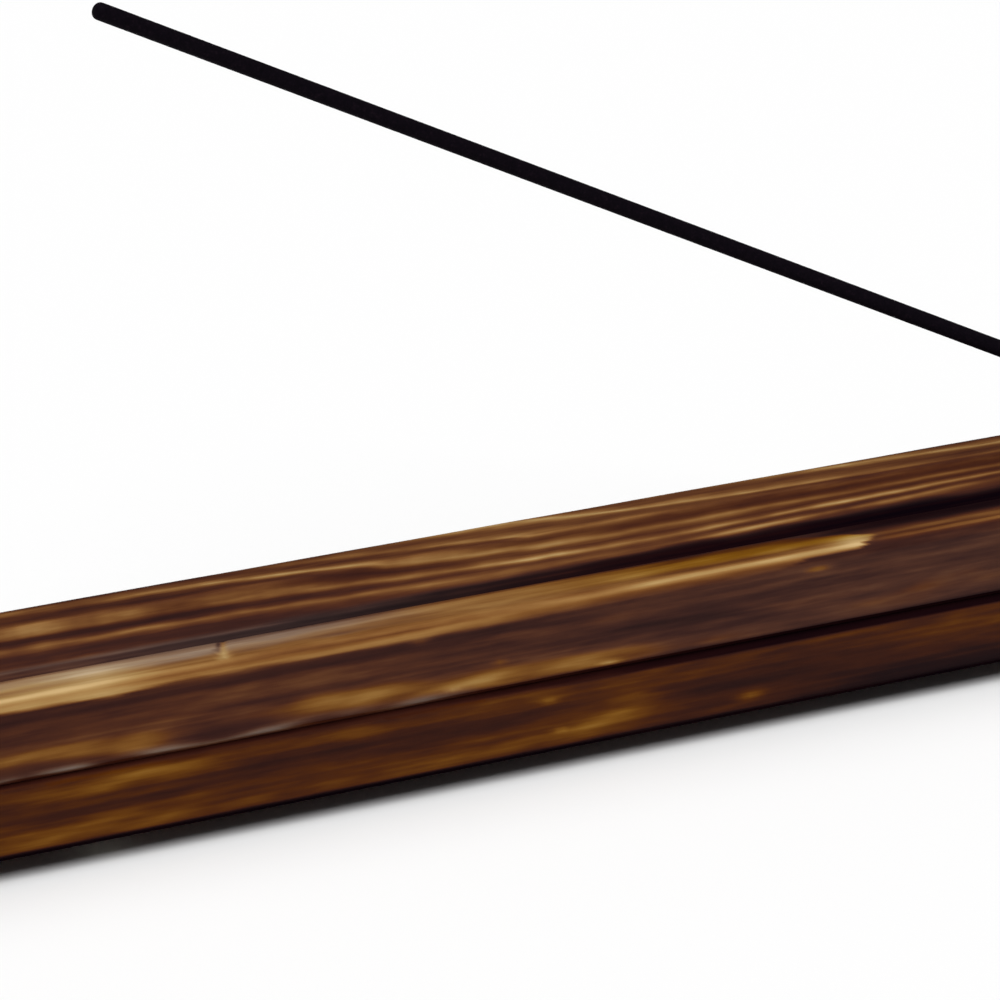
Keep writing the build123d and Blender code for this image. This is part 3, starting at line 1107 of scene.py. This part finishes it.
def torched_pine():
    """Torch-charred softwood under clear varnish, from the boards' ring, tone, figure, haze_and_sheen and
    gloss.
    """
    wood = Nodes("torched_pine")
    tone = wood.attribute("tone")
    haze_and_sheen = wood.attribute("haze_and_sheen")
    lines = ring_lines(wood)
    fibre = wood.noise(wood.place(FIBRE_RATES), detail=4.0)
    cloud = wood.noise(wood.place(CLOUD_RATES), detail=3.0)
    uneven = uneven_wood(wood, fibre, cloud)
    # Lighter wood is more even
    calm = wood.scaled(tone, -1.8, 1.36)
    change = wood.math("MULTIPLY", wood.scaled(uneven, 1.0, -1.0), calm)
    value = wood.math("MULTIPLY_ADD", wood.attribute("figure"), wood.scaled(lines, 1.0, -0.35), tone)
    value = wood.math("MULTIPLY_ADD", value, change, value)
    colour = wood.ramp(value, TORCHED_COLOURS)
    fade = wood.scaled(haze_and_sheen, -0.75, 1.0)
    yellow = wood.math("MAXIMUM", wood.scaled(haze_and_sheen, -0.06, 0.5), 0.5)
    faded = wood.add("HueSaturation", {"Color": colour, "Hue": yellow, "Saturation": fade}).outputs[0]
    height = wood.math("MULTIPLY_ADD", lines, 0.6, fibre)
    return wood.finish({
        "Base Color": faded,
        "Roughness": wood.scaled(cloud, 0.22, 0.3),
        "Specular IOR Level": wood.scaled(wood.attribute("gloss"), 0.06),
        "Normal": wood.bump(height, 0.14, 0.1 * MM),
    })


def incense_paste():
    """Matt black rolled paste with a little brown wood powder in it."""
    paste = Nodes("incense_paste")
    grain = paste.noise(paste.place(), detail=4.0, scale=2600)
    powder = paste.noise(paste.place(), detail=2.0, scale=900)
    colour = paste.ramp(
        paste.math("MULTIPLY_ADD", grain, 0.6, paste.scaled(powder, 0.4)),
        ((0.3, srgb(2, 0, 4)), (0.55, srgb(8, 3, 10)), (0.75, srgb(24, 14, 22))),
    )
    return paste.finish({
        "Base Color": colour,
        "Roughness": paste.scaled(grain, 0.25, 0.7),
        "Specular IOR Level": 0.06,
        "Normal": paste.bump(grain, 0.6, 0.1 * MM),
    })


def bamboo_cane():
    """Bare split bamboo with fine fibres along the stick."""
    cane = Nodes("bamboo")
    lean = atan2(stick_direction.z, -stick_direction.x)
    fibre = cane.noise(cane.place((60, 4200, 4200), (0, -lean, 0)), detail=3.0)
    patches = cane.noise(cane.place((90, 300, 300), (0, -lean, 0)), detail=2.0)
    colour = cane.ramp(
        cane.math("MULTIPLY_ADD", fibre, 0.7, cane.scaled(patches, 0.35)),
        ((0.3, srgb(150, 108, 58)), (0.5, srgb(192, 150, 92)), (0.72, srgb(222, 188, 132))),
    )
    return cane.finish({
        "Base Color": colour,
        "Roughness": cane.scaled(fibre, 0.2, 0.5),
        "Normal": cane.bump(fibre, 0.4, 0.08 * MM),
    })


def foot_rubber():
    """Matt black moulded rubber with a faint bloom."""
    rubber = Nodes("foot_rubber")
    bloom_and_sheen = rubber.noise(rubber.place(), detail=3.0, scale=500)
    grain = rubber.noise(rubber.place(), detail=2.0, scale=5000)
    colour = rubber.ramp(bloom_and_sheen, ((0.35, srgb(20, 20, 22)), (0.7, srgb(38, 38, 40))))
    return rubber.finish({
        "Base Color": colour,
        "Roughness": rubber.scaled(bloom_and_sheen, 0.25, 0.6),
        "Specular IOR Level": 0.3,
        "Normal": rubber.bump(grain, 0.3, 0.05 * MM),
    })


def zinc():
    """Zinc-plated steel, a little uneven."""
    steel = Nodes("screw_steel")
    mottle = steel.noise(steel.place(), detail=4.0, scale=900)
    scratch = steel.noise(steel.place((6000, 600, 600)), detail=2.0)
    colour = steel.ramp(mottle, ((0.35, srgb(168, 162, 146)), (0.7, srgb(205, 200, 186))))
    return steel.finish({
        "Base Color": colour,
        "Metallic": 1.0,
        "Roughness": steel.scaled(scratch, 0.3, 0.22),
        "Normal": steel.bump(scratch, 0.15, 0.03 * MM),
    })


# Pieces

def dress(made, material, body, node):
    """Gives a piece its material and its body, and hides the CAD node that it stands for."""
    made.data.materials.clear()
    made.data.materials.append(material)
    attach(made, body)
    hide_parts(node)


pine = torched_pine()
dress(make_tray(), pine, "holder", "tray_board")
dress(make_base(), pine, "holder", "base_board")
dress(make_paste(), incense_paste(), "stick", "stick_coating")
dress(make_bamboo(), bamboo_cane(), "stick", "stick_core")
rubber = foot_rubber()
for foot_name in FOOT_NAMES:
    dress(make_foot(foot_name), rubber, "holder", foot_name)
screws = frame["nodes"]["assembly_screws"]
screws.data.materials.clear()
screws.data.materials.append(zinc())


# Stage: floor, world, lamp and camera

FLOOR_SIZE = 8.0
FLOOR_LEVEL = 0.9
# The sky is even up to this height on a ball of radius 1, and brightens from there to overhead
SKY_START = 0.7
SKY_LOW = 0.1
SKY_OVERHEAD = 1.5
KEY_AZIMUTH = radians(-35)
KEY_ELEVATION = radians(52)
KEY_STRENGTH = 2.5
KEY_SPREAD = radians(32)
CAMERA_AZIMUTH = radians(-27.01)
CAMERA_ELEVATION = radians(20.09)
CAMERA_DISTANCE = 0.7782
CAMERA_TARGET = Vector((-0.01986, 0, 0.03969))
CAMERA_LENS = 181.3  # mm
CAMERA_SENSOR = 36.0  # mm


def make_floor():
    half = FLOOR_SIZE / 2
    corners = [(-half, -half, 0), (half, -half, 0), (half, half, 0), (-half, half, 0)]
    floor = mesh_object("floor", corners, [(0, 1, 2, 3)])
    paint = Nodes("floor")
    matt = paint.add("BsdfDiffuse", {"Color": grey(FLOOR_LEVEL)})
    paint.add("OutputMaterial", {"Surface": matt.outputs[0]})
    floor.data.materials.append(paint.material)


def make_world():
    """A soft sky, brighter overhead than at the horizon."""
    world = bpy.data.worlds.new("studio")
    bpy.context.scene.world = world
    world.use_nodes = True
    tree = world.node_tree
    tree.nodes.clear()
    up = tree.nodes.new("ShaderNodeSeparateXYZ")
    tree.links.new(tree.nodes.new("ShaderNodeTexCoord").outputs["Generated"], up.inputs[0])
    level = tree.nodes.new("ShaderNodeMapRange")
    tree.links.new(up.outputs["Z"], level.inputs["Value"])
    levels = {"From Min": SKY_START, "From Max": 1.0, "To Min": SKY_LOW, "To Max": SKY_OVERHEAD}
    for socket, value in levels.items():
        level.inputs[socket].default_value = value
    sky = tree.nodes.new("ShaderNodeBackground")
    sky.inputs["Color"].default_value = grey(1.0)
    tree.links.new(level.outputs[0], sky.inputs["Strength"])
    tree.links.new(sky.outputs[0], tree.nodes.new("ShaderNodeOutputWorld").inputs["Surface"])


def direction_from(azimuth, elevation):
    """Towards a place seen from the object; azimuth 0 lies in front and 90 degrees on the right."""
    flat = cos(elevation)
    return Vector((sin(azimuth) * flat, -cos(azimuth) * flat, sin(elevation)))


def make_key():
    """A wide soft lamp that is so far away that it lights the whole floor evenly."""
    lamp = bpy.data.lights.new("key", "SUN")
    lamp.energy = KEY_STRENGTH
    lamp.angle = KEY_SPREAD
    made = bpy.data.objects.new("key", lamp)
    bpy.context.scene.collection.objects.link(made)
    made.rotation_euler = direction_from(KEY_AZIMUTH, KEY_ELEVATION).to_track_quat("Z", "Y").to_euler()


def make_camera():
    camera = bpy.data.cameras.new("camera")
    camera.lens = CAMERA_LENS
    camera.sensor_width = CAMERA_SENSOR
    made = bpy.data.objects.new("camera", camera)
    bpy.context.scene.collection.objects.link(made)
    back = direction_from(CAMERA_AZIMUTH, CAMERA_ELEVATION)
    made.location = CAMERA_TARGET + back * CAMERA_DISTANCE
    made.rotation_euler = (-back).to_track_quat("-Z", "Y").to_euler()
    bpy.context.scene.camera = made


make_floor()
make_world()
make_key()
make_camera()
bpy.context.scene.view_settings.view_transform = "Standard"
